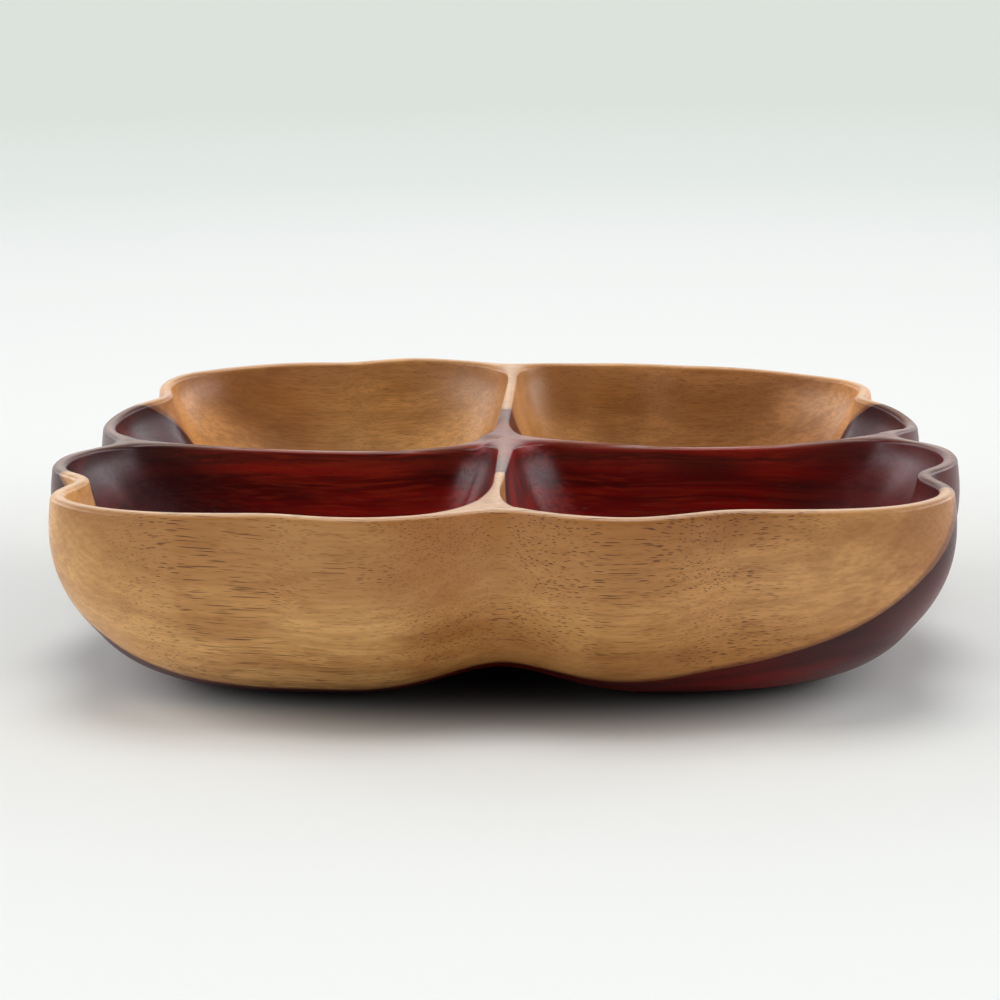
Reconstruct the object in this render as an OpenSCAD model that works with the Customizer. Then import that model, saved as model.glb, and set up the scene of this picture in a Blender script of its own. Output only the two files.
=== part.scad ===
/* [Outline] */
// Half length of the bowl at the notch where the cross divider meets the side
side_notch_x = 134.8; // [126:0.1:144]
// Half length at the sharp notch between the side lobe and the corner lobe
corner_notch_x = 133.2; // [126:0.1:140]
// Half depth at that sharp corner notch
corner_notch_y = 67.4; // [60:0.1:74]
// Half length at the soft groove between the corner lobe and the long-side lobe
soft_groove_x = 69.1; // [60:0.1:78]
// Half depth at that soft groove
soft_groove_y = 117.4; // [110:0.1:124]
// Half depth at the groove in the middle of each long side
middle_groove_y = 111.3; // [104:0.1:118]
// Pull of the side lobe's curve at its two ends
side_lobe_pull = 28.8; // [22:0.1:34]
// Pull of the corner lobe's curve where it leaves the sharp notch
corner_lobe_pull = 38.2; // [32:0.1:44]
// Pull of the corner lobe's curve where it arrives at the soft groove
corner_lobe_reach = 49.3; // [42:0.1:54]
// Pull of the long-side lobe's curve at its two ends
long_lobe_pull = 25; // [18:0.1:32]
// How much shallower the rear half is at its right end than in the middle
rear_taper_share = 0.142; // [0:0.001:0.2]
// How much deeper the front half is at its right end than in the middle
front_spread_share = 0.017; // [0:0.001:0.04]
// How much shorter the rear is than the middle of the bowl
end_taper_share = 0.009; // [0:0.001:0.02]

/* [Rim and dividers] */
// Height of the rim before its hand-carved rise and fall
rim_h = 65.6; // [56:0.1:76]
// Greatest rise or fall of the rim
rim_wave = 5; // [0:0.1:6]
// Thickness of the wall at the rim
wall_t = 4.8; // [3.6:0.1:6]
// Thickness of both dividers at their top edge
divider_t = 4; // [3:0.1:6]
// Drop of the rounded edges of the rim and the dividers
edge_drop = 1.5; // [0.6:0.1:2]
// Radius of the hollows' corners where the two dividers cross
cross_fillet = 18; // [10:0.1:24]
// Reach of the curve from a divider into the wall
end_fillet = 27; // [20:0.1:32]

/* [Walls and hollows] */
// How far the wall swells out below the rim
belly = 2.4; // [0:0.1:4]
// Thickness of the floor in the middle of a hollow
floor_t = 8; // [6:0.1:12]
// Height of the valleys under the bowl between its four rounded bottoms
valley_h = 9; // [5:0.1:11]
// Width of those valleys
valley_w = 26; // [20:0.1:32]
// Depth ground off the four bottoms so that the bowl stands flat
foot_grind = 1.5; // [1.4:0.05:2.2]

/* [Growth ring between dark and light wood] */
// Radius of the dark heartwood in the middle of the bowl
heart_r = 96; // [92:0.1:102]
// Radius it gains towards the left end
heart_gain_left = 5; // [0:0.1:8]
// Radius it gains towards the right end
heart_gain_right = 11; // [0:0.1:14]
// Depth of the tree's centre below the bowl
pith_drop = 18; // [14:0.1:24]
// Distance of the tree's centre in front of the middle of the bowl
pith_forward = 9; // [4:0.1:14]
// Turn of the tree's centre line against the bowl's length in degrees
pith_turn = 4.6; // [0:0.1:8]

/* [Hidden] */

// Directions in which the lobes' curves leave and arrive, in degrees
side_lobe_turns = [52, 146];
corner_lobe_turns = [54.5, 186.3];
long_lobe_turns = [158.5, 205.6];

// Steps on each lobe, and the finer steps on which the outline is smoothed
lobe_steps = 8;
fine_steps = 3 * lobe_steps;
sanding_passes = 4;
outline_steps = 3 * lobe_steps;
divider_steps = 9;
cross_steps = 3;
end_steps = 3;
ring_steps = 2 * divider_steps + outline_steps;

// Rise of the rim as shares of rim_wave, at the side notch, side lobe, sharp notch, corner
// lobe, soft groove, long-side lobe and middle groove of each quarter of the bowl
front_left_wave_shares = [-0.53, -0.16, 0.04, 0.21, 0.21, 0.12, 0.16];
front_right_wave_shares = [-0.53, -0.07, 0.05, 0.12, 0.32, 0.06, 0.16];
rear_left_wave_shares = [-0.53, -0.92, -0.54, -0.20, 0.17, 0.47, 0.46];
rear_right_wave_shares = [-0.53, -1.10, -0.35, -0.08, 0.31, 0.27, 0.46];
cross_wave_share = -0.5;

// Where the rounded top edges begin, as shares of the wall, and their drop as a share
edge_share = 0.35;
bevel_share = 0.12;
bevel_drop_share = 0.3;

// Hollow: middle as shares of the two notches, inner rings as shares of the way to its edge,
// and the powers of its curve
hollow_x_share = 0.46;
hollow_y_share = 0.5;
hollow_ring_shares = [0.975, 0.93, 0.86, 0.76, 0.62, 0.44, 0.22];
hollow_power = 2.3;
hollow_steepness = 1.6;
hollow_soft_x_share = 0.44;
hollow_soft_y_share = 0.46;
soft_power = 3;

// Outer wall: its turn-under as a share of the distance to the middle, the power of the
// turn, the levels at which it is worked out, in degrees, and how its grooves fade
tuck_share = 0.57;
tuck_power = 4.4;
wall_turns = [8, 17, 28, 40, 53, 67, 79, 90];
belly_reach = 1.5;
fade_share = 0.8;
fade_power = 1.5;
under_shares = [0.75, 0.5, 0.25];
smooth_x_share = 1.09;
smooth_y_share = 1.045;
smooth_power = 4.5;

// Side of the cutting blocks, well past the bowl
block = 4 * side_notch_x;
heart_steps = 6;

side_notch = [side_notch_x, 0];
corner_notch = [corner_notch_x, corner_notch_y];
soft_groove = [soft_groove_x, soft_groove_y];
middle_groove = [0, middle_groove_y];
hollow_middle = [hollow_x_share * side_notch_x, hollow_y_share * middle_groove_y];

function heading(angle) = [cos(angle), sin(angle)];
function lerp(a, b, t) = a + (b - a) * t;
function soft_lerp(a, b, t) = lerp(a, b, (1 - cos(180 * t)) / 2);
function cubic(a, b, c, d, t) = pow(1 - t, 3) * a + 3 * pow(1 - t, 2) * t * b
    + 3 * (1 - t) * t * t * c + pow(t, 3) * d;

// One lobe of the outline, from one notch to just before the next
function lobe(start, finish, turns, pull, reach) = [
    for (i = [0 : fine_steps - 1])
        cubic(start, start + pull * heading(turns[0]), finish - reach * heading(turns[1]),
            finish, i / fine_steps)
];

// Neighbours of a point on a quarter outline, mirrored past its two ends
function earlier(points, i) = i > 0 ? points[i - 1] : [points[1].x, -points[1].y];
function later(points, i) = i < len(points) - 1 ? points[i + 1]
    : [-points[i - 1].x, points[i - 1].y];

// Sanding rounds every notch a little
function sand(points, passes) = passes == 0 ? points : sand([
    for (i = [0 : len(points) - 1])
        (earlier(points, i) + 2 * points[i] + later(points, i)) / 4
], passes - 1);

fine_outline = sand(concat(
    lobe(side_notch, corner_notch, side_lobe_turns, side_lobe_pull, side_lobe_pull),
    lobe(corner_notch, soft_groove, corner_lobe_turns, corner_lobe_pull, corner_lobe_reach),
    lobe(soft_groove, middle_groove, long_lobe_turns, long_lobe_pull, long_lobe_pull),
    [middle_groove]), sanding_passes);

function inward(points, i) =
    let (along = later(points, i) - earlier(points, i))
    [-along.y, along.x] / norm(along);

thin = fine_steps / lobe_steps;
outline = [for (i = [0 : outline_steps]) fine_outline[i * thin]];
wall_inside = [
    for (i = [0 : outline_steps])
        outline[i] + wall_t * inward(fine_outline, i * thin)
];

// The edge of a quarter: out along the cross divider's middle, round the outline, and back
// along the long divider's middle
quarter_edge = concat(
    [for (i = [0 : divider_steps - 1]) lerp([0, 0], outline[0], i / divider_steps)],
    outline,
    [for (i = [1 : divider_steps - 1]) lerp(outline[outline_steps], [0, 0], i / divider_steps)]);

// Inner edge of a hollow, point for point beside quarter_edge
half_divider = divider_t / 2;
cross_centre = (half_divider + cross_fillet) * [1, 1];
side_end = [wall_inside[0].x - end_fillet, half_divider];
long_end = [half_divider, wall_inside[outline_steps].y - end_fillet];
straight_steps = divider_steps - cross_steps - end_steps;
bend_steps = 2 * end_steps;
side_join = wall_inside[end_steps];
long_join = wall_inside[outline_steps - end_steps];
side_join_pull = norm(side_join - side_end) / 2;
long_join_pull = norm(long_join - long_end) / 2;
side_join_along = later(wall_inside, end_steps) - earlier(wall_inside, end_steps);
long_join_along = later(wall_inside, outline_steps - end_steps)
    - earlier(wall_inside, outline_steps - end_steps);

cross_arc = [
    for (i = [-cross_steps : cross_steps])
        cross_centre + cross_fillet * heading(225 + 45 * i / cross_steps)
];
side_bend = [
    for (i = [1 : bend_steps - 1])
        cubic(side_end, side_end + side_join_pull * [1, 0],
            side_join - side_join_pull * side_join_along / norm(side_join_along),
            side_join, i / bend_steps)
];
long_bend = [
    for (i = [1 : bend_steps - 1])
        cubic(long_join, long_join + long_join_pull * long_join_along / norm(long_join_along),
            long_end + long_join_pull * [0, 1], long_end, i / bend_steps)
];
hollow_edge = concat(
    [for (i = [cross_steps : 2 * cross_steps]) cross_arc[i]],
    [for (i = [1 : straight_steps]) lerp(cross_arc[2 * cross_steps], side_end, i / straight_steps)],
    side_bend,
    [for (i = [end_steps : outline_steps - end_steps]) wall_inside[i]],
    long_bend,
    [for (i = [0 : straight_steps - 1]) lerp(long_end, cross_arc[0], i / straight_steps)],
    [for (i = [0 : cross_steps - 1]) cross_arc[i]]);

// Height of the rim and of the divider tops, point for point beside quarter_edge
function wave_at(shares, t) =
    let (k = floor(t))
    t == k ? shares[k] : soft_lerp(shares[k], shares[k + 1], t - k);
function crest_heights(shares) = [
    for (i = [0 : ring_steps - 1])
        rim_h + rim_wave * (
            i < divider_steps
                ? lerp(cross_wave_share, shares[0], i / divider_steps)
                : i <= divider_steps + outline_steps
                    ? wave_at(shares, (i - divider_steps) * (len(shares) - 1) / outline_steps)
                    : soft_lerp(shares[len(shares) - 1], cross_wave_share,
                        (i - divider_steps - outline_steps) / divider_steps))
];

function on_outline(i) = i >= divider_steps && i <= divider_steps + outline_steps;

// A ring of the rounded top, at a share of the way from the outer edge to the hollow. On the
// dividers only the half beside this quarter is drawn, from the middle line
function top_ring(heights, share, drop) = [
    for (i = [0 : ring_steps - 1])
        let (way = on_outline(i) ? share : max(0, 2 * share - 1),
            inner = on_outline(i) && share <= edge_share
                ? wall_inside[i - divider_steps] : hollow_edge[i],
            p = lerp(quarter_edge[i], inner, way),
            fall = on_outline(i) || share > edge_share ? drop : 0)
        [p.x, p.y, heights[i] - fall]
];

// Distance to a smooth oval in a given direction from its middle
function oval_radius(direction, half_x, half_y, power) =
    pow(pow(abs(direction.x) / half_x, power) + pow(abs(direction.y) / half_y, power),
        -1 / power);

// A ring of the hollow, at a share of the way from its middle to its edge
function hollow_ring(heights, share) = [
    for (i = [0 : ring_steps - 1])
        let (arm = hollow_edge[i] - hollow_middle,
            direction = arm / norm(arm),
            smooth = oval_radius(direction, hollow_soft_x_share * side_notch_x,
                hollow_soft_y_share * middle_groove_y, soft_power),
            reach = share * lerp(smooth, norm(arm), share * share),
            climb = 1 - pow(1 - pow(share, hollow_power), 1 / hollow_steepness),
            p = hollow_middle + reach * direction)
        [p.x, p.y, lerp(floor_t, heights[i] - edge_drop, climb)]
];

// Underside between the four rounded bottoms
function valley(p) =
    valley_h * (1 - (1 - exp(-pow(p.x / valley_w, 2))) * (1 - exp(-pow(p.y / valley_w, 2))));
function ground(z) = max(0, z);

// A ring of the outer wall at one level of its turn-under
function wall_ring(heights, turn) = [
    for (i = [0 : outline_steps])
        let (direction = outline[i] / norm(outline[i]),
            smooth = oval_radius(direction, smooth_x_share * side_notch_x,
                smooth_y_share * soft_groove_y, smooth_power),
            reach = lerp(norm(outline[i]), smooth, fade_share * pow(sin(turn), fade_power)),
            swell = belly * sin(180 * min(1, belly_reach * sin(turn))),
            tuck = tuck_share * reach * (1 - pow(cos(turn), 2 / tuck_power)),
            p = (reach + swell - tuck) * direction,
            low = valley(p),
            top = heights[divider_steps + i] - edge_drop)
        [p.x, p.y, ground(lerp(top, low, sin(turn)) - foot_grind * sin(turn))]
];
function under_ring(heights, share) = [
    for (p = wall_ring(heights, 90))
        [p.x * share, p.y * share, ground(valley([p.x, p.y] * share) - foot_grind)]
];

// A quarter in its real place: mirrored about the middle and drawn out of square
function place(p, flip) =
    let (x = p.x * flip.x + 0,
        y = p.y * flip.y + 0,
        taper = y > 0 ? -rear_taper_share : front_spread_share)
    [x * (1 - end_taper_share * y / middle_groove_y), y * (1 + taper * x / side_notch_x), p.z];
function placed(points, flip) = [for (p = points) place(p, flip)];

// Triangles between rings of equal length, and from the last ring to one middle point
function strip(rings, count, closed) = [
    for (r = [0 : rings - 2], i = [0 : closed ? count - 1 : count - 2])
        let (j = (i + 1) % count, a = r * count + i, b = r * count + j)
        each [[a, b, a + count], [b, b + count, a + count]]
];
function fan(first, count, middle, closed) = [
    for (i = [0 : closed ? count - 1 : count - 2])
        [first + i, first + (i + 1) % count, middle]
];
function shifted(faces, by) = [for (f = faces) [for (v = f) v + by]];
function turned(faces) = [for (f = faces) [f[2], f[1], f[0]]];

// Top, rim and hollow of one quarter, from the crest of the rim to the floor
function top_rings(heights) = concat(
    [top_ring(heights, edge_share, 0),
    top_ring(heights, 1 - edge_share, 0),
    top_ring(heights, 1 - bevel_share, bevel_drop_share * edge_drop),
    top_ring(heights, 1, edge_drop)],
    [for (share = hollow_ring_shares) hollow_ring(heights, share)]);

// Outside of one quarter, from the crest of the rim down and under to the middle
function outer_rings(heights) = concat(
    [for (ring = [top_ring(heights, edge_share, 0),
            top_ring(heights, bevel_share, bevel_drop_share * edge_drop),
            top_ring(heights, 0, edge_drop)])
        [for (i = [divider_steps : divider_steps + outline_steps]) ring[i]]],
    [for (turn = wall_turns) wall_ring(heights, turn)],
    [for (share = under_shares) under_ring(heights, share)]);

// Points and faces of one quarter
function quarter(flip, shares) =
    let (heights = crest_heights(shares),
        tops = top_rings(heights),
        outs = outer_rings(heights),
        top_points = concat([for (ring = tops) each ring],
            [[hollow_middle.x, hollow_middle.y, floor_t]]),
        out_points = concat([for (ring = outs) each ring],
            [[0, 0, ground(valley([0, 0]) - foot_grind)]]),
        top_faces = concat(strip(len(tops), ring_steps, true),
            fan((len(tops) - 1) * ring_steps, ring_steps, len(top_points) - 1, true)),
        out_faces = concat(strip(len(outs), outline_steps + 1, false),
            fan((len(outs) - 1) * (outline_steps + 1), outline_steps + 1,
                len(out_points) - 1, false)),
        faces = concat(turned(top_faces), shifted(out_faces, len(top_points))))
    [placed(concat(top_points, out_points), flip), flip.x * flip.y > 0 ? faces : turned(faces)];

quarters = [
    quarter([-1, -1], front_left_wave_shares),
    quarter([1, -1], front_right_wave_shares),
    quarter([-1, 1], rear_left_wave_shares),
    quarter([1, 1], rear_right_wave_shares)
];

// The bowl stands with the middle of its length and depth over the origin, so the crossing
// of the dividers lies a little in front of it
depths = [for (q = quarters, p = q[0]) p.y];
middle_y = (min(depths) + max(depths)) / 2;
module centred() {
    translate([0, -middle_y, 0])
        children();
}

module whole_bowl() {
    quarter_points = len(quarters[0][0]);
    polyhedron(
        points = [for (q = quarters) each q[0]],
        faces = [for (k = [0 : len(quarters) - 1]) each shifted(quarters[k][1], k * quarter_points)],
        convexity = 8);
}

// The dark heart of the tree: a round log, a little waisted, lying along the bowl
module heart_log() {
    half = block / 2;
    ends = [
        for (i = [-heart_steps : heart_steps])
            let (s = i / heart_steps,
                gain = s < 0 ? heart_gain_left : heart_gain_right,
                x = s * corner_notch_x)
            [heart_r + gain * s * s, x]
    ];
    translate([0, -pith_forward, -pith_drop])
        rotate([0, 0, -pith_turn])
            rotate([0, 90, 0])
                rotate_extrude($fn = 180)
                    polygon(concat([[0, -half], [ends[0].x, -half]], ends,
                        [[ends[len(ends) - 1].x, half], [0, half]]));
}

module heartwood_core() {
    color([0.36, 0.09, 0.07])
        centred()
            intersection() {
                whole_bowl();
                heart_log();
            }
}

module front_sapwood() {
    color([0.72, 0.50, 0.30])
        centred()
            difference() {
                whole_bowl();
                heart_log();
                translate([-block / 2, 0, -block / 2])
                    cube(block);
            }
}

module rear_sapwood() {
    color([0.70, 0.48, 0.28])
        centred()
            difference() {
                whole_bowl();
                heart_log();
                translate([-block / 2, -block, -block / 2])
                    cube(block);
            }
}

heartwood_core();
front_sapwood();
rear_sapwood();
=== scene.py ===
"""Divided serving bowl, carved by hand from one block of dark heartwood and light sapwood."""

import math

import bmesh
import bpy
import numpy as np
from mathutils import Matrix, Vector
from mathutils.kdtree import KDTree


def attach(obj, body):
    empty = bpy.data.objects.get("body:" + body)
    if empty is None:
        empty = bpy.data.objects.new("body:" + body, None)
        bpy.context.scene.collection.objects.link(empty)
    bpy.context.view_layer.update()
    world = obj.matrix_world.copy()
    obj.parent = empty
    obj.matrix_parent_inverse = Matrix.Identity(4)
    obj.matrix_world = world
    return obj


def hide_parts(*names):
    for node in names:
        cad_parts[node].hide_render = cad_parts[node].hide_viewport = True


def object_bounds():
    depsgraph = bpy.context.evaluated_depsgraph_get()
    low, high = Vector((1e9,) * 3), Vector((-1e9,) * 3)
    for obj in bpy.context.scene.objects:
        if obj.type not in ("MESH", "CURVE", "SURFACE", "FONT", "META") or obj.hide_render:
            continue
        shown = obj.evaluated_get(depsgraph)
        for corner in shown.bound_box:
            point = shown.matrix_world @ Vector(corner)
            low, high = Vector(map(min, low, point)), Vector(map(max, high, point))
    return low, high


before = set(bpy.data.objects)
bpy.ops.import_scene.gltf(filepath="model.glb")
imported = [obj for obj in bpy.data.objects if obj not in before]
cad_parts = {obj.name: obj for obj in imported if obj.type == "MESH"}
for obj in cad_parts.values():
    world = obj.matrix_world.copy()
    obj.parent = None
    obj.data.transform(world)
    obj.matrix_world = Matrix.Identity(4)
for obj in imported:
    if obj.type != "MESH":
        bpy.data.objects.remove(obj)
cad_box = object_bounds()

# Sizes, millimetres

MM = 0.001

# Outline of a quarter: its notches and grooves, and the lobes' curves between them
side_notch_x = 134.8
corner_notch = (133.2, 67.4)
soft_groove = (69.1, 117.4)
middle_groove_y = 111.3
side_lobe_pull = 28.8
corner_lobe_pull = 38.2
corner_lobe_reach = 49.3
long_lobe_pull = 25
side_lobe_turns = (52, 146)
corner_lobe_turns = (54.5, 186.3)
long_lobe_turns = (158.5, 205.6)
rear_taper_share = 0.142
front_spread_share = 0.017
end_taper_share = 0.009

# Rim and dividers
rim_h = 65.6
rim_wave = 5
wall_t = 4.8
divider_t = 4
edge_drop = 1.5
cross_fillet = 18
end_fillet = 27

# Walls and hollows
belly = 2.4
floor_t = 8
valley_h = 9
valley_w = 26
foot_grind = 1.5

# Growth ring between dark and light wood
heart_r = 96
heart_gain_left = 5
heart_gain_right = 11
pith_drop = 18
pith_forward = 9
pith_turn = 4.6

# Rise of the rim as shares of rim_wave, at the side notch, side lobe, sharp notch, corner lobe,
# soft groove, long-side lobe and middle groove, by the way a quarter is flipped in x and y
wave_shares = {
    (-1, -1): (-0.53, -0.16, 0.04, 0.21, 0.21, 0.12, 0.16),
    (1, -1): (-0.53, -0.07, 0.05, 0.12, 0.32, 0.06, 0.16),
    (-1, 1): (-0.53, -0.92, -0.54, -0.20, 0.17, 0.47, 0.46),
    (1, 1): (-0.53, -1.10, -0.35, -0.08, 0.31, 0.27, 0.46),
}
cross_wave_share = -0.5

# Sag of the side dividers' crests, and how near the crossing it lies, by side
sag_shares = {-1: (0.94, 0.7), 1: (0.84, 1.1)}
sag_power = 1.4

# Half widths of the long divider beside the crossing and at its outer end, as shares of
# divider_t, and its end fillet's reach and fullness, by the way a quarter is flipped
long_shares = {
    (-1, -1): (0.5, 0.57, 1.48, 0.36),
    (1, -1): (0.8, 0.05, 0.8, 0.45),
    (-1, 1): (0.8, 0.1, 0.9, 0.45),
    (1, 1): (0.32, 0.82, 0.6, 0.5),
}

# Shares and powers of the wall's and the hollows' curves
edge_share = 0.35
hollow_x_share, hollow_y_share = 0.46, 0.5
hollow_power, hollow_steepness = 2.3, 1.6
hollow_soft_x_share, hollow_soft_y_share = 0.44, 0.46
soft_power = 3
tuck_share, tuck_power = 0.57, 4.4
belly_reach = 1.5
fade_share, fade_power = 0.8, 1.5
smooth_x_share, smooth_y_share, smooth_power = 1.09, 1.045, 4.5

# Fineness of the mesh: steps on a lobe, here and in the solids
LOBE_STEPS = 40
CAD_LOBE_STEPS = 8
FINER = LOBE_STEPS // CAD_LOBE_STEPS

# The solids' outline is sanded in a few passes at this many steps on a lobe. To round it as
# much, the passes grow with the square of the steps.
CAD_SANDING_PASSES = 4
CAD_SANDING_STEPS = 24
SANDING_PASSES = round(CAD_SANDING_PASSES * (LOBE_STEPS / CAD_SANDING_STEPS) ** 2)

# Steps along the outline and the dividers, and rings on each part of the skin
OUTLINE_STEPS = 3 * LOBE_STEPS
DIVIDER_STEPS = 9 * FINER
CROSS_STEPS = 3 * FINER
END_STEPS = 3 * FINER
STRAIGHT_STEPS = DIVIDER_STEPS - CROSS_STEPS - END_STEPS
RING_STEPS = 2 * DIVIDER_STEPS + OUTLINE_STEPS
EDGE_RINGS = 6
HOLLOW_RINGS = 34
WALL_RINGS = 32
UNDER_RINGS = 10

# Points nearer than this are one, millimetres; edges turned by more than this stay crisp,
# degrees; and how fast the rubbed paleness and the painted sheen fade from a crest over the
# rings of its edge
JOIN_GAP = 1e-4
CRISP_ANGLE = 35
RUB_AND_SHEEN_POWER = 1.5


# Curves

def heading(angle):
    return np.array([math.cos(math.radians(angle)), math.sin(math.radians(angle))])


def lerp(a, b, t):
    return a + (b - a) * t


def soft_lerp(a, b, t):
    return lerp(a, b, (1 - math.cos(math.pi * t)) / 2)


def cubic(a, b, c, d, count, first=0):
    """Points of a cubic curve at the steps first to count - 1 of count."""
    t = (np.arange(first, count) / count)[:, None]
    return ((1 - t) ** 3 * a + 3 * (1 - t) ** 2 * t * b + 3 * (1 - t) * t * t * c + t ** 3 * d)


def straight(a, b, count, first=0):
    t = (np.arange(first, count) / count)[:, None]
    return lerp(np.asarray(a, float), np.asarray(b, float), t)


def lobe(start, finish, turns, pull, reach):
    start, finish = np.array(start, float), np.array(finish, float)
    return cubic(start, start + pull * heading(turns[0]), finish - reach * heading(turns[1]),
                 finish, LOBE_STEPS)


def with_neighbours(points):
    """The quarter outline with one mirrored point past each end."""
    before = points[1] * (1, -1)
    after = points[-2] * (-1, 1)
    return np.vstack([before, points, after])


def sand(points, passes):
    for _ in range(passes):
        wide = with_neighbours(points)
        points = (wide[:-2] + 2 * wide[1:-1] + wide[2:]) / 4
    return points


side_notch = np.array([side_notch_x, 0.0])
middle_groove = np.array([0.0, middle_groove_y])
outline = sand(np.vstack([
    lobe(side_notch, corner_notch, side_lobe_turns, side_lobe_pull, side_lobe_pull),
    lobe(corner_notch, soft_groove, corner_lobe_turns, corner_lobe_pull, corner_lobe_reach),
    lobe(soft_groove, middle_groove, long_lobe_turns, long_lobe_pull, long_lobe_pull),
    middle_groove]), SANDING_PASSES)


def directions_along(points):
    wide = with_neighbours(points)
    along = wide[2:] - wide[:-2]
    return along / np.linalg.norm(along, axis=1)[:, None]


along_outline = directions_along(outline)
wall_inside = outline + wall_t * np.stack([-along_outline[:, 1], along_outline[:, 0]], 1)
inside_along = directions_along(wall_inside)

centre = np.zeros(2)
quarter_edge = np.vstack([
    straight(centre, outline[0], DIVIDER_STEPS),
    outline,
    straight(outline[-1], centre, DIVIDER_STEPS, 1)])

half_divider = divider_t / 2
side_end = np.array([wall_inside[0, 0] - end_fillet, half_divider])
side_join = wall_inside[END_STEPS]
long_join = wall_inside[-1 - END_STEPS]
side_pull = np.linalg.norm(side_join - side_end) / 2
hollow_middle = np.array([hollow_x_share * side_notch_x, hollow_y_share * middle_groove_y])
on_outline = np.zeros(RING_STEPS, bool)
on_outline[DIVIDER_STEPS:DIVIDER_STEPS + OUTLINE_STEPS + 1] = True


def hollow_edge(flip):
    """Inner edge of a hollow, point for point beside quarter_edge."""
    near, far, reach, fullness = long_shares[flip]
    cross_centre = np.array([near * divider_t, half_divider]) + cross_fillet
    cross_arc = np.array([
        cross_centre + cross_fillet * heading(225 + 45 * i / CROSS_STEPS)
        for i in range(-CROSS_STEPS, CROSS_STEPS + 1)])
    long_end = np.array([far * divider_t, wall_inside[-1, 1] - reach * end_fillet])
    long_pull = fullness * np.linalg.norm(long_join - long_end)
    lean = long_end - cross_arc[0]
    return np.vstack([
        cross_arc[CROSS_STEPS:],
        straight(cross_arc[-1], side_end, STRAIGHT_STEPS, 1),
        cubic(side_end, side_end + side_pull * heading(0),
              side_join - side_pull * inside_along[END_STEPS], side_join, 2 * END_STEPS),
        wall_inside[END_STEPS:-1 - END_STEPS],
        cubic(long_join, long_join + long_pull * inside_along[-1 - END_STEPS],
              long_end + long_pull * lean / np.linalg.norm(lean), long_end, 2 * END_STEPS),
        straight(long_end, cross_arc[0], STRAIGHT_STEPS),
        cross_arc[:CROSS_STEPS]])


def crest_heights(flip):
    """Height of the rim and of the divider tops, point for point beside quarter_edge."""
    shares = wave_shares[flip]
    sag_share, sag_place = sag_shares[flip[0]]
    rises = []
    for i in range(RING_STEPS):
        if i < DIVIDER_STEPS:
            t = i / DIVIDER_STEPS
            sag = sag_share * math.sin(math.pi * t ** sag_place) ** sag_power
            rises.append(lerp(cross_wave_share, shares[0], t) - sag)
        elif i <= DIVIDER_STEPS + OUTLINE_STEPS:
            t = (i - DIVIDER_STEPS) * (len(shares) - 1) / OUTLINE_STEPS
            k = min(int(t), len(shares) - 2)
            rises.append(soft_lerp(shares[k], shares[k + 1], t - k))
        else:
            t = (i - DIVIDER_STEPS - OUTLINE_STEPS) / DIVIDER_STEPS
            rises.append(soft_lerp(shares[-1], cross_wave_share, t))
    return rim_h + rim_wave * np.array(rises)


# The bowl's skin

def ring(plan, heights):
    return np.column_stack([plan, heights])


def top_ring(heights, edge, share, drop, outer_side):
    """A ring of the rounded top, at a share of the way from the outer edge to the hollow."""
    inner = edge.copy()
    if outer_side:
        inner[on_outline] = wall_inside
    way = np.where(on_outline, share, max(0, 2 * share - 1))[:, None]
    fall = np.where(on_outline | (not outer_side), drop, 0)
    return ring(lerp(quarter_edge, inner, way), heights - fall)


def oval_radius(direction, half_x, half_y, power):
    ratio = np.abs(direction) / (half_x, half_y)
    return (ratio ** power).sum(1) ** (-1 / power)


def hollow_ring(heights, edge, share):
    arm = edge - hollow_middle
    length = np.linalg.norm(arm, axis=1)
    direction = arm / length[:, None]
    smooth = oval_radius(direction, hollow_soft_x_share * side_notch_x,
                         hollow_soft_y_share * middle_groove_y, soft_power)
    reach = share * lerp(smooth, length, share * share)
    climb = 1 - (1 - share ** hollow_power) ** (1 / hollow_steepness)
    return ring(hollow_middle + reach[:, None] * direction,
                lerp(floor_t, heights - edge_drop, climb))


def valley(plan):
    clear = 1 - np.exp(-(plan / valley_w) ** 2)
    return valley_h * (1 - clear[:, 0] * clear[:, 1])


def wall_ring(heights, turn):
    """A ring of the outer wall at one level of its turn-under, in degrees."""
    sine, cosine = math.sin(math.radians(turn)), max(0, math.cos(math.radians(turn)))
    length = np.linalg.norm(outline, axis=1)
    direction = outline / length[:, None]
    smooth = oval_radius(direction, smooth_x_share * side_notch_x,
                         smooth_y_share * soft_groove[1], smooth_power)
    reach = lerp(length, smooth, fade_share * sine ** fade_power)
    swell = belly * math.sin(math.pi * min(1, belly_reach * sine))
    tuck = tuck_share * reach * (1 - cosine ** (2 / tuck_power))
    plan = (reach + swell - tuck)[:, None] * direction
    top = heights[on_outline] - edge_drop
    return ring(plan, np.maximum(0, lerp(top, valley(plan), sine) - foot_grind * sine))


def under_ring(heights, share):
    plan = wall_ring(heights, 90)[:, :2] * share
    return ring(plan, np.maximum(0, valley(plan) - foot_grind))


def top_rings(heights, edge):
    """From the middle of the rim's top in to the hollow's floor."""
    rings = [top_ring(heights, edge, 0.5, 0, True)]
    for k in range(EDGE_RINGS + 1):
        angle = math.pi / 2 * k / EDGE_RINGS
        rings.append(top_ring(heights, edge, 1 - edge_share * (1 - math.sin(angle)),
                              edge_drop * (1 - math.cos(angle)), False))
    for k in range(1, HOLLOW_RINGS):
        rings.append(hollow_ring(heights, edge, 1 - (k / HOLLOW_RINGS) ** hollow_steepness))
    return rings


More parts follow.
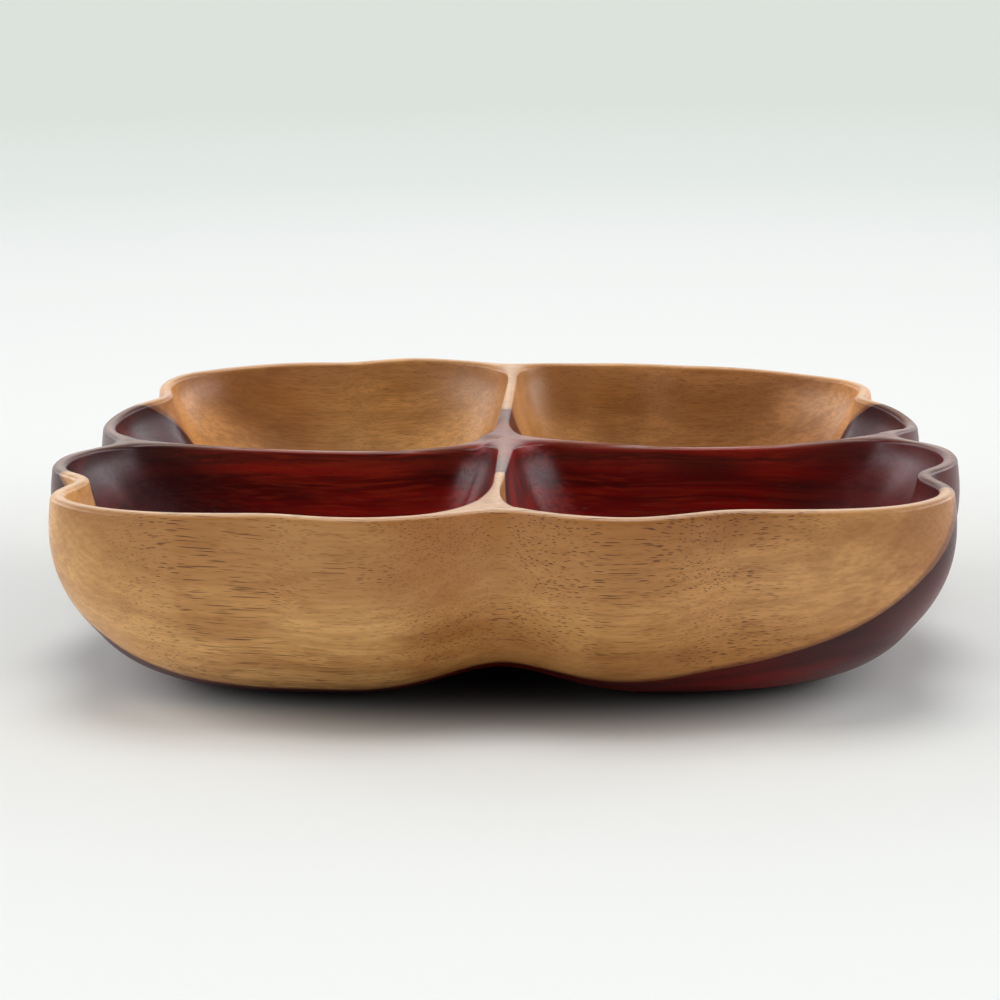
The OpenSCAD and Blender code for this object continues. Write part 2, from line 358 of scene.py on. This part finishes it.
def outer_rings(heights, edge):
    """From the middle of the rim's top out, down the wall and under the bowl."""
    rings = [top_ring(heights, edge, 0.5, 0, True)[on_outline]]
    for k in range(EDGE_RINGS + 1):
        angle = math.pi / 2 * k / EDGE_RINGS
        rings.append(top_ring(heights, edge, edge_share * (1 - math.sin(angle)),
                              edge_drop * (1 - math.cos(angle)), True)[on_outline])
    for k in range(1, WALL_RINGS + 1):
        rings.append(wall_ring(heights, 90 * k / WALL_RINGS))
    for k in range(1, UNDER_RINGS):
        rings.append(under_ring(heights, 1 - k / UNDER_RINGS))
    return rings


def place(points, flip):
    """A quarter in its real place: mirrored about the middle and drawn out of square."""
    x, y = points[:, 0] * flip[0], points[:, 1] * flip[1]
    taper = np.where(y > 0, -rear_taper_share, front_spread_share)
    return np.column_stack([x * (1 - end_taper_share * y / middle_groove_y),
                            y * (1 + taper * x / side_notch_x), points[:, 2]])


def strip_faces(rows, count, closed, first):
    """Four-sided faces between rings of equal length."""
    faces = []
    for row in range(rows - 1):
        for i in range(count if closed else count - 1):
            a, b = first + row * count + i, first + row * count + (i + 1) % count
            faces.append((a, b, b + count, a + count))
    return faces


def fan_faces(start, count, middle, closed):
    return [(start + i, start + (i + 1) % count, middle)
            for i in range(count if closed else count - 1)]


def rub_and_sheen_of(rings):
    """How pale each point is, from rubbing and painted sheen: most on the crest of an edge, none
    on the walls.
    """
    return [max(0, 1 - k / EDGE_RINGS) ** RUB_AND_SHEEN_POWER
            for k, points in enumerate(rings) for _ in points]


def quarter(flip):
    """Points and faces of one quarter of the skin, and how pale each point is from rubbing and
    painted sheen.
    """
    heights, edge = crest_heights(flip), hollow_edge(flip)
    tops, outs = top_rings(heights, edge), outer_rings(heights, edge)
    points = np.vstack(tops + [[*hollow_middle, floor_t]] + outs
                       + [[0, 0, max(0, valley_h - foot_grind)]])
    top_middle = len(tops) * RING_STEPS
    out_first = top_middle + 1
    out_count = OUTLINE_STEPS + 1
    faces = [f[::-1] for f in strip_faces(len(tops), RING_STEPS, True, 0)
             + fan_faces(top_middle - RING_STEPS, RING_STEPS, top_middle, True)]
    faces += strip_faces(len(outs), out_count, False, out_first)
    faces += fan_faces(len(points) - 1 - out_count, out_count, len(points) - 1, False)
    if flip[0] * flip[1] < 0:
        faces = [f[::-1] for f in faces]
    return place(points, flip), faces, rub_and_sheen_of(tops) + [0] + rub_and_sheen_of(outs) + [0]


def make_object(name, points, faces):
    """An object of these points and faces, with doubled points joined and all faces outward."""
    mesh = bpy.data.meshes.new(name)
    mesh.from_pydata([tuple(p) for p in points], [], faces)
    work = bmesh.new()
    work.from_mesh(mesh)
    bmesh.ops.remove_doubles(work, verts=work.verts, dist=JOIN_GAP * MM)
    bmesh.ops.recalc_face_normals(work, faces=work.faces)
    work.to_mesh(mesh)
    work.free()
    made = bpy.data.objects.new(name, mesh)
    bpy.context.collection.objects.link(made)
    return made


def rub_and_sheen_map(points, rubbing_and_sheen):
    """A search tree of the skin's points, and how pale each is from rubbing and painted sheen."""
    tree = KDTree(len(points))
    for k, point in enumerate(points):
        tree.insert(point, k)
    tree.balance()
    return tree, rubbing_and_sheen


def whole_bowl():
    """The closed skin of the bowl, its paleness from rubbing and painted sheen, and the middle of
    its depth, put over the origin.
    """
    points, faces, rubbing_and_sheen = [], [], []
    for flip in wave_shares:
        new_points, new_faces, new_rub_and_sheen = quarter(flip)
        faces += [tuple(v + len(rubbing_and_sheen) for v in f) for f in new_faces]
        points.append(new_points)
        rubbing_and_sheen += new_rub_and_sheen
    points = np.vstack(points)
    middle_y = (points[:, 1].min() + points[:, 1].max()) / 2
    points[:, 1] -= middle_y

    # Where the finer curves reach past the solids' box, they are drawn in to it
    half = np.abs(np.array(cad_box)[:, :2]).min(0) / MM
    points[:, :2] *= np.minimum(1, half / np.abs(points[:, :2]).max(0))
    return make_object("bowl", points * MM, faces), rub_and_sheen_map(points * MM, rubbing_and_sheen), middle_y


# The wood's two zones

LOG_SIDES = 240
LOG_STEPS = 80


def heart_radius(x):
    """Radius of the dark heartwood at a place along the log."""
    s = max(-1, min(1, x / corner_notch[0]))
    return heart_r + (heart_gain_left if s < 0 else heart_gain_right) * s * s


def heart_log(middle_y):
    """The dark heart of the tree: a round log, a little waisted, lying along the bowl."""
    half = 2 * side_notch_x
    turned = Matrix.Rotation(-math.radians(pith_turn), 3, "Z")
    pith = Vector((0, -pith_forward - middle_y, -pith_drop))
    points = []
    for k in range(LOG_STEPS + 1):
        x = half * (2 * k / LOG_STEPS - 1)
        for i in range(LOG_SIDES):
            angle = 2 * math.pi * i / LOG_SIDES
            across = heart_radius(x) * Vector((0, math.cos(angle), math.sin(angle)))
            points.append((turned @ (across + Vector((x, 0, 0))) + pith) * MM)
    faces = [f[::-1] for f in strip_faces(LOG_STEPS + 1, LOG_SIDES, True, 0)]
    faces.append(tuple(range(LOG_SIDES)))
    faces.append(tuple(reversed(range(LOG_STEPS * LOG_SIDES, (LOG_STEPS + 1) * LOG_SIDES))))
    return make_object("log", points, faces)


def carved(bowl, log, operation):
    """The bowl's skin cut by the log, as a new mesh whose many-sided faces are made triangles."""
    cut = bowl.modifiers.new("cut", "BOOLEAN")
    cut.object = log
    cut.operation = operation
    cut.solver = "MANIFOLD"
    evaluated = bowl.evaluated_get(bpy.context.evaluated_depsgraph_get())
    mesh = bpy.data.meshes.new_from_object(evaluated)
    bowl.modifiers.remove(cut)
    work = bmesh.new()
    work.from_mesh(mesh)
    many_sided = [f for f in work.faces if len(f.verts) > 4]
    bmesh.ops.triangulate(work, faces=many_sided, ngon_method="BEAUTY")
    work.to_mesh(mesh)
    work.free()
    return mesh


def half_of(mesh, name, side):
    """The part of a mesh in front of the middle (side -1) or behind it (side 1)."""
    work = bmesh.new()
    work.from_mesh(mesh)
    away = [v for v in work.verts if v.co.y * side < 0]
    bmesh.ops.delete(work, geom=away, context="VERTS")
    half = bpy.data.meshes.new(name)
    work.to_mesh(half)
    work.free()
    return half


def piece(mesh, node, material, rubbing_and_sheen):
    """A visible piece that stands for a node of the frame, with its paleness from rubbing and
    painted sheen stored at its points.
    """
    made = bpy.data.objects.new(node + "_carved", mesh)
    bpy.context.collection.objects.link(made)
    mesh.materials.clear()
    mesh.materials.append(material)
    mesh.polygons.foreach_set("material_index", [0] * len(mesh.polygons))
    mesh.polygons.foreach_set("use_smooth", [True] * len(mesh.polygons))
    mesh.set_sharp_from_angle(angle=math.radians(CRISP_ANGLE))
    tree, values = rubbing_and_sheen
    edge_rub_and_sheen = mesh.attributes.new("edge_rub_and_sheen", "FLOAT", "POINT")
    edge_rub_and_sheen.data.foreach_set("value", [values[tree.find(v.co)[1]] for v in mesh.vertices])
    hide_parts(node)
    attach(made, "root")


# Materials

def srgb(red, green, blue):
    """A colour given as the screen shows it, 0 to 255, as the shader wants it."""
    def linear(c):
        c /= 255
        return c / 12.92 if c <= 0.04045 else ((c + 0.055) / 1.055) ** 2.4
    return (linear(red), linear(green), linear(blue), 1)


# Detail of noise: in its softest forms, and in all others
SOFT_DETAIL = 2
FULL_DETAIL = 3

# Sockets of the node that mixes colours: the share, the two colours, and the result
MIX_SHARE, MIX_A, MIX_B, MIX_RESULT = 0, 6, 7, 2


class Graph:
    """Short calls for a node tree. A socket given as a value is linked, a number is set."""

    def __init__(self, tree):
        self.tree = tree
        tree.nodes.clear()

    def give(self, socket, value):
        if isinstance(value, bpy.types.NodeSocket):
            self.tree.links.new(value, socket)
        else:
            socket.default_value = value

    def add(self, kind, inputs=(), output=0, **settings):
        """A new node's output, by its number or its name; a node without outputs itself."""
        node = self.tree.nodes.new(kind)
        for key, value in settings.items():
            setattr(node, key, value)
        for key, value in dict(inputs).items():
            self.give(node.inputs[key], value)
        return node.outputs[output] if node.outputs else node

    def math(self, operation, a, b=0.0, c=0.0):
        return self.add("ShaderNodeMath", {0: a, 1: b, 2: c}, operation=operation)

    def vector(self, operation, a, b=(0, 0, 0)):
        output = 1 if operation == "LENGTH" else 0
        return self.add("ShaderNodeVectorMath", {0: a, 1: b}, output, operation=operation)

    def split(self, vector):
        """The x, y and z of a vector."""
        node = self.tree.nodes.new("ShaderNodeSeparateXYZ")
        self.tree.links.new(vector, node.inputs[0])
        return node.outputs

    def noise(self, place, scales, detail=FULL_DETAIL, rough=0.5, colour=False):
        """Noise whose scales, in turns per metre, differ along x, y and z."""
        stretched = self.vector("MULTIPLY", place, scales)
        return self.add("ShaderNodeTexNoise",
                        {"Vector": stretched, "Scale": 1.0, "Detail": detail,
                         "Roughness": rough}, "Color" if colour else 0)

    def cells(self, place, scales):
        """Distance to the nearest of scattered points, in cells."""
        stretched = self.vector("MULTIPLY", place, scales)
        return self.add("ShaderNodeTexVoronoi", {"Vector": stretched, "Scale": 1.0})

    def band(self, value, low, high, low_to=0.0, high_to=1.0):
        """The value taken from the range low to high into another, and held at its ends."""
        return self.add("ShaderNodeMapRange",
                        {"Value": value, "From Min": low, "From Max": high, "To Min": low_to,
                         "To Max": high_to}, interpolation_type="SMOOTHSTEP")

    def mix(self, share, a, b, blend="MIX"):
        """Colour a with a share of colour b mixed in."""
        node = self.tree.nodes.new("ShaderNodeMix")
        node.data_type = "RGBA"
        node.blend_type = blend
        for place, value in ((MIX_SHARE, share), (MIX_A, a), (MIX_B, b)):
            self.give(node.inputs[place], value)
        return node.outputs[MIX_RESULT]

    def lay(self, colour, value, low, high, most, tone, where=1.0):
        """The colour with a tone laid over it, from none at the low value to most at the high.

        A share given as where lessens the tone.
        """
        cover = self.math("MULTIPLY", self.band(value, low, high, 0, most), where)
        return self.mix(cover, colour, tone)


# Drift of the grain and of the pores from straight lines along the log: turns per metre, and
# between its two extremes how far they move along and across the log, metres
drift_scales = (9, 16, 16)
grain_drift = (0.02, 0.011, 0.011)
pore_drift = (0.02, 0.003, 0.012)

# Turns per metre and roughness of the growth rings' own unevenness, and a pore's inner share
ring_waver_scale = 6.0
ring_rough = 0.6
pore_core_share = 0.55


class Wood:
    """What both woods share: places along and across the grain, rings and pores."""

    def __init__(self, name, middle_y):
        self.material = bpy.data.materials.new(name)
        self.material.use_nodes = True
        self.g = g = Graph(self.material.node_tree)
        turned = Matrix.Rotation(math.radians(pith_turn), 3, "Z")
        pith = turned @ Vector((0, -pith_forward - middle_y, -pith_drop)) * MM
        raw = g.add("ShaderNodeTexCoord", output="Object")
        self.log_place = g.add("ShaderNodeMapping",
                               {"Vector": raw, "Location": -pith,
                                "Rotation": (0, 0, math.radians(pith_turn))})
        drift = g.noise(self.log_place, drift_scales, SOFT_DETAIL, colour=True)
        drift = g.vector("SUBTRACT", drift, (0.5, 0.5, 0.5))
        self.place, self.pore_place = (
            g.vector("ADD", self.log_place, g.vector("MULTIPLY", drift, reach))
            for reach in (grain_drift, pore_drift))
        self.x, self.y = g.split(self.place)[:2]
        self.from_middle = g.math("ABSOLUTE", self.x)
        self.rings_place = g.add("ShaderNodeCombineXYZ",
                                 {"X": self.x, "Y": self.from_pith(self.place), "Z": self.y})

    def from_pith(self, place):
        return self.g.vector("LENGTH", self.g.vector("MULTIPLY", place, (0, 1, 1)))

    def rings(self, per_metre_along, per_metre_across):
        """Growth rings: noise that changes fast away from the pith and slowly along it."""
        scales = (per_metre_along, per_metre_across, ring_waver_scale)
        return self.g.noise(self.rings_place, scales, rough=ring_rough)

    def from_boundary(self):
        """Distance outside the heartwood's surface, in metres."""
        g = self.g
        share = g.math("MULTIPLY", g.split(self.log_place)[0], 1 / (corner_notch[0] * MM))
        square = g.math("MULTIPLY", share, share)
        gain = g.math("ADD", g.math("MULTIPLY", g.math("GREATER_THAN", share, 0.0),
                                    (heart_gain_right - heart_gain_left) * MM),
                      heart_gain_left * MM)
        edge = g.math("MULTIPLY_ADD", gain, square, heart_r * MM)
        return g.math("SUBTRACT", self.from_pith(self.log_place), edge)

    def edge_rub_and_sheen(self, most):
        """Share by which the edges of rim and dividers are pale: partly rubbed by handling,
        partly a painted sheen.
        """
        edge_rub_and_sheen = self.g.add("ShaderNodeAttribute", output="Fac", attribute_name="edge_rub_and_sheen")
        return self.g.math("MULTIPLY", edge_rub_and_sheen, most)

    def pores(self, per_metre_along, per_metre_across, size):
        """Open pores: thin dashes along the grain, 1 in a pore and 0 beside it."""
        g = self.g
        near = g.cells(self.pore_place, (per_metre_along, per_metre_across, per_metre_across))
        return g.band(near, size, size * pore_core_share)

    def finish(self, colour, roughness, pores, depth, gloss, coat_roughness, coat, tint):
        """The finished material, its pores sunk to a depth in millimetres under an oiled skin."""
        g = self.g
        bump = g.add("ShaderNodeBump", {"Height": g.math("MULTIPLY", pores, -1.0),
                                        "Distance": depth * MM, "Strength": 1.0})
        shader = g.add("ShaderNodeBsdfPrincipled",
                       {"Base Color": colour, "Roughness": roughness, "Normal": bump,
                        "Specular IOR Level": gloss, "Specular Tint": tint, "Coat Weight": coat,
                        "Coat Roughness": coat_roughness})
        g.add("ShaderNodeOutputMaterial", {"Surface": shader})
        return self.material


# Grounds go from one tone to another: soft noise in the light wood, growth rings in the dark.
# All turns per metre are given along the log first, then across it.
sap_ground_scales, sap_ground_range = (9, 22, 22), (0.32, 0.68)
sap_ground_tones = (srgb(230, 178, 112), srgb(208, 152, 82))
heart_ring_scales, heart_ring_range = (4, 220), (0.34, 0.66)
heart_ground_tones = (srgb(82, 3, 1), srgb(140, 13, 3))

# Layers over the grounds: the value at which one begins, the value at which it is full, the
# most it covers, and its tone. Before the layer a pattern has its noise's turns per metre and,
# in the dark wood, its detail. Patterns are laid in this order.
sap_ring_scales = (2.2, 170)
sap_ring_layer = (0.5, 0.75, 0.35, srgb(160, 100, 38))
sap_patterns = {
    "streaks": ((45, 800, 800), (0.4, 0.62, 0.3, srgb(154, 98, 38))),
    "clouds": ((14, 34, 34), (0.44, 0.62, 0.48, srgb(148, 84, 22))),
    "mottle": ((45, 120, 120), (0.5, 0.62, 0.28, srgb(146, 84, 24))),
    "figure": ((42, 11, 11), (0.48, 0.72, 0.3, srgb(230, 174, 108))),
}
heart_patterns = {
    "fine": ((20, 900, 900), FULL_DETAIL, (0.45, 0.66, 0.6, srgb(152, 36, 8))),
    "clouds": ((11, 50, 50), SOFT_DETAIL, (0.45, 0.68, 0.75, srgb(44, 2, 1))),
}

# Layers by place: the rear one, a painted light on the rear hollows, by the distance behind the
# pith; the far-out one, the one beside the growth ring, the stain and the dark wood's edge by the
# distance out from that ring; the groove's and the dark ends' by the distance from the log's
# middle
rear_span = (0, 40 * MM)
rear_light_layer = (*rear_span, 0.6, srgb(248, 178, 98))
far_out_layer = (24 * MM, 40 * MM, 0.65, srgb(156, 92, 26))
# The layer beside the ring is partly the wood's own warmer tone, partly painted shade
beside_ring_tone_and_shade_layer = (14 * MM, 0, 0.15, srgb(176, 102, 32))
stain_layer = (2.2 * MM, 0.2 * MM, 0.75, srgb(96, 40, 24))
# The dark wood's edge layer is painted shade: the dark wood darker near the growth ring
ring_shade_layer = (-16 * MM, -1 * MM, 0.7, srgb(40, 9, 9))
# The groove's layer is painted shade: the light wood darkened near the middle, in the grooves
groove_shade_layer = (34 * MM, 6 * MM, 0.4, srgb(156, 84, 12))
# The dark ends' layer is painted shade and a painted grey sheen: the dark wood darker and greyer
# towards the ends
end_shade_and_sheen_layer = (82 * MM, 122 * MM, 0.7, srgb(50, 19, 18))

# Where painted shade darkens the light wood, to the right and at the rear left, and what
# multiplies it there
right_span = (15 * MM, 75 * MM)
left_span = (-60 * MM, -95 * MM)
right_and_rear_left_shade_tone = srgb(234, 222, 214)

# From rear to front: where the far-out layer and the large pores begin to grow and where they
# are full, and their share at each
front_band = (30 * MM, -30 * MM, 0.4, 1)

# The most that rubbing and the painted sheen pale each wood, and the tones of rubbed, sheened
# wood
sap_rub_and_sheen_most, sap_rub_and_sheen_tone = 0.6, srgb(240, 200, 156)
heart_rub_and_sheen_most, heart_rub_and_sheen_tone = 0.45, srgb(178, 140, 110)

# Pores: how many to a metre along and across the grain, and the size of one in spacings
large_pores = (44, 1900, 0.3)
small_pores = (150, 1900, 0.3)
heart_pores = (90, 1300, 0.22)

# The noise by which large pores crowd; where pores are few and where all are there, from the
# ends in, and their share at each; how strongly small pores and those of the dark wood show
crowd_scales, crowd_range = (14, 44, 44), (0.36, 0.56)
few_pores_band = (120 * MM, 84 * MM, 0.15, 1)
small_pores_most, heart_pores_most = 0.4, 0.5
sap_pore_tone, heart_pore_tone = srgb(74, 26, 0), srgb(16, 3, 4)

# Roughness, which follows the finest pattern's noise, and what a pore adds to it
rough_range = (0.3, 0.7)
sap_rough, sap_pore_rough = (0.36, 0.46), 0.2
heart_rough, heart_pore_rough = (0.28, 0.36), 0.15


def sapwood_material(name, middle_y):
    wood = Wood(name, middle_y)
    g = wood.g
    outside = wood.from_boundary()
    front = g.band(wood.y, *front_band)
    rear_left = g.math("MULTIPLY", g.band(wood.x, *left_span), g.band(wood.y, *rear_span))
    right_and_rear_left_shade = g.math("MAXIMUM", g.band(wood.x, *right_span), rear_left)

    ground = g.noise(wood.place, sap_ground_scales, SOFT_DETAIL)
    colour = g.mix(g.band(ground, *sap_ground_range), *sap_ground_tones)
    # Painted light: the light wood behind the pith, in the rear hollows, made lighter
    colour = g.lay(colour, wood.y, *rear_light_layer)
    colour = g.lay(colour, wood.rings(*sap_ring_scales), *sap_ring_layer)
    patterns = {}
    for pattern, (scales, layer) in sap_patterns.items():
        patterns[pattern] = g.noise(wood.place, scales)
        colour = g.lay(colour, patterns[pattern], *layer)
    colour = g.lay(colour, outside, *far_out_layer, front)
    # Partly wood tone, partly painted shade: the light wood warmer and darker next to the growth
    # ring
    colour = g.lay(colour, outside, *beside_ring_tone_and_shade_layer)
    # Painted shade in the grooves near the middle
    colour = g.lay(colour, wood.from_middle, *groove_shade_layer)
    # Painted shade: the light wood darkened to the right and at the rear left
    colour = g.mix(right_and_rear_left_shade, colour, right_and_rear_left_shade_tone, "MULTIPLY")
    colour = g.lay(colour, outside, *stain_layer)
    # Edges paled, partly by real rubbing and partly by a painted sheen on rim and divider tops
    colour = g.mix(wood.edge_rub_and_sheen(sap_rub_and_sheen_most), colour, sap_rub_and_sheen_tone)

    crowd = g.band(g.noise(wood.place, crowd_scales, SOFT_DETAIL), *crowd_range)
    large = g.math("MULTIPLY", wood.pores(*large_pores), g.math("MULTIPLY", crowd, front))
    small = g.math("MULTIPLY", wood.pores(*small_pores), small_pores_most)
    kept = g.band(wood.from_middle, *few_pores_band)
    pores = g.math("MULTIPLY", g.math("MAXIMUM", large, small), kept)
    colour = g.mix(pores, colour, sap_pore_tone)
    rough = g.math("ADD", g.band(patterns["streaks"], *rough_range, *sap_rough),
                   g.math("MULTIPLY", pores, sap_pore_rough))
    return wood.finish(colour, rough, pores, depth=0.05, gloss=0.55, coat_roughness=0.3,
                       coat=0.25, tint=srgb(255, 238, 220))


def heartwood_material(name, middle_y):
    wood = Wood(name, middle_y)
    g = wood.g
    ground = g.band(wood.rings(*heart_ring_scales), *heart_ring_range)
    colour = g.mix(ground, *heart_ground_tones)
    patterns = {}
    for pattern, (scales, detail, layer) in heart_patterns.items():
        patterns[pattern] = g.noise(wood.place, scales, detail)
        colour = g.lay(colour, patterns[pattern], *layer)
    # Painted shade: the dark wood darker near the growth ring
    colour = g.lay(colour, wood.from_boundary(), *ring_shade_layer)
    # Painted shade and grey sheen: the dark wood darker and greyer towards the ends
    colour = g.lay(colour, wood.from_middle, *end_shade_and_sheen_layer)
    # Edges paled, partly by real rubbing and partly by a painted sheen on rim and divider tops
    colour = g.mix(wood.edge_rub_and_sheen(heart_rub_and_sheen_most), colour, heart_rub_and_sheen_tone)

    pores = wood.pores(*heart_pores)
    colour = g.mix(g.math("MULTIPLY", pores, heart_pores_most), colour, heart_pore_tone)
    rough = g.math("ADD", g.band(patterns["fine"], *rough_range, *heart_rough),
                   g.math("MULTIPLY", pores, heart_pore_rough))
    return wood.finish(colour, rough, pores, depth=0.03, gloss=0.35, coat_roughness=0.3,
                       coat=0.0, tint=srgb(250, 238, 242))


# Floor, light and camera

# The floor, metres: its radius, how far out its tones reach, and the tones by the share of it.
# The tones are a painted pool of light: lightest near the bowl and darker farther out.
FLOOR_R = 40.0
FLOOR_SIDES = 64
floor_light_reach = 4.0
floor_light_tones = ((0.0, srgb(239, 240, 236)), (0.08, srgb(234, 234, 231)),
               (0.3, srgb(219, 223, 218)), (0.7, srgb(210, 216, 208)))

# The contact shade under the bowl, a soft oval: half sizes in metres, power of its curve, and
# its layer over the floor, by the sum of both powers: 1 on the oval, less inside it
shade_half_x, shade_half_y = 0.116, 0.12
shade_power = 3.0
shade_layer = (1.6, 0.4, 0.94, srgb(34, 22, 14))


def floor_material():
    material = bpy.data.materials.new("floor")
    material.use_nodes = True
    g = Graph(material.node_tree)
    place = g.add("ShaderNodeTexCoord", output="Object")
    # A painted pool of light on the floor, lightest near the bowl
    ramp = g.tree.nodes.new("ShaderNodeValToRGB")
    away = g.band(g.vector("LENGTH", place), 0.0, floor_light_reach)
    g.tree.links.new(away, ramp.inputs[0])
    while len(ramp.color_ramp.elements) < len(floor_light_tones):
        ramp.color_ramp.elements.new(1.0)
    for element, (position, tone) in zip(ramp.color_ramp.elements, floor_light_tones):
        element.position = position
        element.color = tone
    scaled = g.vector("MULTIPLY", place, (1 / shade_half_x, 1 / shade_half_y, 1))
    x, y = g.split(g.vector("ABSOLUTE", scaled))[:2]
    oval = g.math("ADD", g.math("POWER", x, shade_power), g.math("POWER", y, shade_power))
    colour = g.lay(ramp.outputs[0], oval, *shade_layer)
    shader = g.add("ShaderNodeBsdfDiffuse", {"Color": colour})
    g.add("ShaderNodeOutputMaterial", {"Surface": shader})
    return material


def make_floor():
    turns = [2 * math.pi * i / FLOOR_SIDES for i in range(FLOOR_SIDES)]
    points = [(FLOOR_R * math.cos(turn), FLOOR_R * math.sin(turn), 0) for turn in turns]
    floor = make_object("floor", points, [tuple(range(FLOOR_SIDES))])
    floor.data.materials.append(floor_material())


# Parts of the studio round the bowl: spans of a direction's x, y or z over which each begins
# to shine and shines fully, and its brightness
overhead_up, overhead_back, overhead_light = (0.5, 0.95), (-0.6, 0.1), 0.3
side_out, side_above, side_below, side_light = (0.6, 0.76), (0.1, 0.25), (0.62, 0.45), 4.3
behind_back, behind_down, behind_light = (0.1, 0.8), (0.75, 0.3), 1.3
front_forward, front_down, front_light = (-0.3, -0.9), (0.24, 0), 1.0
fill_light = 0.03

# The least share of light overhead in front, and the least brightness high up behind
overhead_least, behind_least = 0.2, 0.2

# The light's tone, and the tone that the camera sees past the floor's edge
light_tone = srgb(250, 252, 255)
background_tone = srgb(215, 221, 213)


def make_world():
    """A studio bright overhead, in a strip at each side, behind and low in front."""
    world = bpy.data.worlds.new("studio")
    bpy.context.scene.world = world
    world.use_nodes = True
    g = Graph(world.node_tree)
    x, y, z = g.split(g.add("ShaderNodeTexCoord", output="Generated"))
    overhead = g.math("MULTIPLY", g.band(z, *overhead_up, 0, overhead_light),
                      g.band(y, *overhead_back, overhead_least, 1))
    strips = g.math("MULTIPLY", g.band(z, *side_above), g.band(z, *side_below))
    sides = g.math("MULTIPLY", g.band(g.math("ABSOLUTE", x), *side_out, 0, side_light), strips)
    behind = g.math("MULTIPLY", g.band(y, *behind_back),
                    g.band(z, *behind_down, behind_least, behind_light))
    front = g.math("MULTIPLY", g.band(y, *front_forward, 0, front_light),
                   g.band(z, *front_down))
    light = g.math("ADD", g.math("ADD", overhead, sides), g.math("ADD", behind, front))
    light = g.math("ADD", light, fill_light)
    studio = g.add("ShaderNodeBackground", {"Color": light_tone, "Strength": light})
    seen = g.add("ShaderNodeBackground", {"Color": background_tone, "Strength": 1.0})
    camera_ray = g.add("ShaderNodeLightPath", output="Is Camera Ray")
    shader = g.add("ShaderNodeMixShader", {0: camera_ray, 1: studio, 2: seen})
    g.add("ShaderNodeOutputWorld", {"Surface": shader})


# The lamp overhead: its strength, and its spread and the pitch of its light in degrees
sun_strength = 1.1
sun_spread = 30
sun_pitch = -12


def make_sun():
    lamp = bpy.data.lights.new("overhead", "SUN")
    lamp.energy = sun_strength
    lamp.angle = math.radians(sun_spread)
    holder = bpy.data.objects.new("overhead", lamp)
    holder.rotation_euler = (math.radians(sun_pitch), 0, 0)
    bpy.context.collection.objects.link(holder)


# The camera as fitted to the photograph: its place in front of the dividers' crossing,
# millimetres, its angles in degrees, and its focal length in widths of the frame
camera_place = (15.8, -716.4, 227.4)
camera_pitch = 14.62
camera_turn = 1.42
camera_roll = -0.8
focal_share = 2.1
SENSOR_MM = 36


def make_camera(middle_y):
    lens = bpy.data.cameras.new("camera")
    lens.sensor_width = SENSOR_MM
    lens.lens = focal_share * SENSOR_MM
    lens.clip_end = 2 * FLOOR_R
    camera = bpy.data.objects.new("camera", lens)
    place_m = (Vector(camera_place) - Vector((0, middle_y, 0))) * MM
    camera.matrix_world = (Matrix.Translation(place_m)
                           @ Matrix.Rotation(math.radians(camera_turn), 4, "Z")
                           @ Matrix.Rotation(math.radians(90 - camera_pitch), 4, "X")
                           @ Matrix.Rotation(math.radians(camera_roll), 4, "Z"))
    bpy.context.collection.objects.link(camera)
    bpy.context.scene.camera = camera


# The scene

bowl, rubbing_and_sheen, middle_y = whole_bowl()
log = heart_log(middle_y)
heart_mesh = carved(bowl, log, "INTERSECT")
sap_mesh = carved(bowl, log, "DIFFERENCE")
for scrap in (bowl, log):
    bpy.data.objects.remove(scrap)

sapwood = sapwood_material("sapwood", middle_y)
heartwood = heartwood_material("heartwood", middle_y)
piece(heart_mesh, "heartwood_core", heartwood, rubbing_and_sheen)
piece(half_of(sap_mesh, "front_sapwood", -1), "front_sapwood", sapwood, rubbing_and_sheen)
piece(half_of(sap_mesh, "rear_sapwood", 1), "rear_sapwood", sapwood, rubbing_and_sheen)

make_floor()
make_world()
make_sun()
make_camera(middle_y)
bpy.context.scene.view_settings.view_transform = "Standard"
